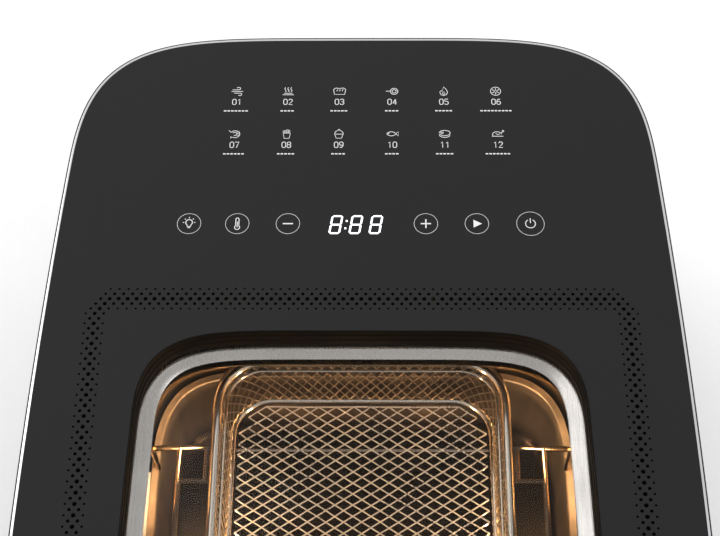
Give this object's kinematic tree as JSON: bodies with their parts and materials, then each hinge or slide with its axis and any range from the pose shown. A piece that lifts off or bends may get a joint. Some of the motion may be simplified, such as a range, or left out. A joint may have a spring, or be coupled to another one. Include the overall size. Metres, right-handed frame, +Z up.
{
  "type": "air fryer",
  "caption": "Countertop air fryer with a glazed touch panel on top, a front drawer with drip pan, wire rails, a mesh basket and a rear fan heater.",
  "frame": {"origin": "middle of the footprint on the table, handle included", "axes": "+Z up; the drawer opens along -Y; +X is to the right of a person who faces the drawer"},
  "size_m": [0.32, 0.456, 0.215],
  "materials": {
    "shell_plastic": "fine spark-eroded texture",
    "panel_plastic": "soft matte, printed markings",
    "bezel_plastic": "satin",
    "trim_metal": "polished",
    "rubber_black": "moulded",
    "screw_steel": "turned",
    "tempered_glass": "polished",
    "neck_steel": "polished sheet",
    "liner_steel": "bright rolled sheet",
    "sheet_steel": "galvanised sheet",
    "heater_sheath": "oxidised sheath",
    "motor_steel": "laminated stack",
    "bronze": "sintered bronze",
    "shaft_steel": "ground",
    "fan_aluminium": "pressed sheet",
    "fan_plastic": "glass-filled moulding",
    "nut_brass": "turned",
    "circuit_board": "solder mask",
    "display_lens": "light diffuser",
    "duct_plastic": "moulded",
    "mineral_wool": "pressed fibre",
    "lamp_body": "reflector",
    "lamp_glass": "heat-proof lens",
    "probe_steel": "drawn tube",
    "ceramic_white": "glazed",
    "sensor_plastic": "moulded",
    "magnet_nickel": "nickel plated",
    "drawer_plastic": "fine spark-eroded texture",
    "inner_plastic": "moulded",
    "silicone": "moulded lip",
    "handle_plastic": "soft touch",
    "pan_coating": "non-stick coating",
    "basket_steel": "bright plated wire",
    "mesh_steel": "expanded mesh"
  },
  "bodies": {
    "housing": {"top_frame": "shell_plastic", "back_panel": "shell_plastic", "side_panel_left": "shell_plastic", "side_panel_right": "shell_plastic", "front_frame": "shell_plastic", "base_tray": "shell_plastic", "foot_pads": "rubber_black", "foot_screws": "screw_steel", "top_panel": "panel_plastic", "trim_ring": "trim_metal", "window_bezel": "bezel_plastic", "window_gasket": "rubber_black", "window_glass": "tempered_glass", "window_neck": "neck_steel", "inner_glass": "tempered_glass", "cavity_liner": "liner_steel", "drawer_rails": "sheet_steel", "fan_guard": "liner_steel", "fan_shroud": "sheet_steel", "heater_ring": "heater_sheath", "fan_motor": "motor_steel", "motor_bracket": "sheet_steel", "shaft_bearings": "bronze", "touch_board": "circuit_board", "display_module": "display_lens", "control_board": "circuit_board", "power_board": "circuit_board", "cooling_duct": "duct_plastic", "rear_cover": "shell_plastic", "rear_cover_screws": "screw_steel", "cord_gland": "rubber_black", "side_insulation": "mineral_wool", "lamp_left": "lamp_body", "lamp_right": "lamp_body", "lamp_lens_left": "lamp_glass", "lamp_lens_right": "lamp_glass", "temperature_probe": "probe_steel", "thermal_cutout": "ceramic_white", "reed_switch": "sensor_plastic"},
    "fan": {"fan_shaft": "shaft_steel", "convection_fan": "fan_aluminium", "cooling_fan": "fan_plastic", "fan_nut": "nut_brass"},
    "drawer": {"drawer_magnet": "magnet_nickel", "drawer_front": "drawer_plastic", "drawer_inner_plate": "inner_plastic", "drawer_seal": "silicone", "drawer_handle": "handle_plastic", "handle_screws": "screw_steel", "drip_pan": "pan_coating", "basket_rail_left": "basket_steel", "basket_rail_right": "basket_steel"},
    "basket": {"basket_rim": "basket_steel", "basket_wall": "mesh_steel", "basket_floor": "mesh_steel", "floor_ring": "basket_steel", "floor_rods": "basket_steel"}
  },
  "joints": [
    {"name": "drawer_slide", "type": "slide", "parent": "housing", "child": "drawer", "axis": [0, -1, 0], "range_m": [0, 0.235]},
    {"name": "basket_lift", "type": "slide", "parent": "drawer", "child": "basket", "axis": [0, 0, 1], "range_m": [0, 0.014]},
    {"name": "fan_spin", "type": "hinge", "parent": "housing", "child": "fan", "pos_m": [0, 0.108, 0.13], "axis": [0, 1, 0], "continuous": true}
  ]
}
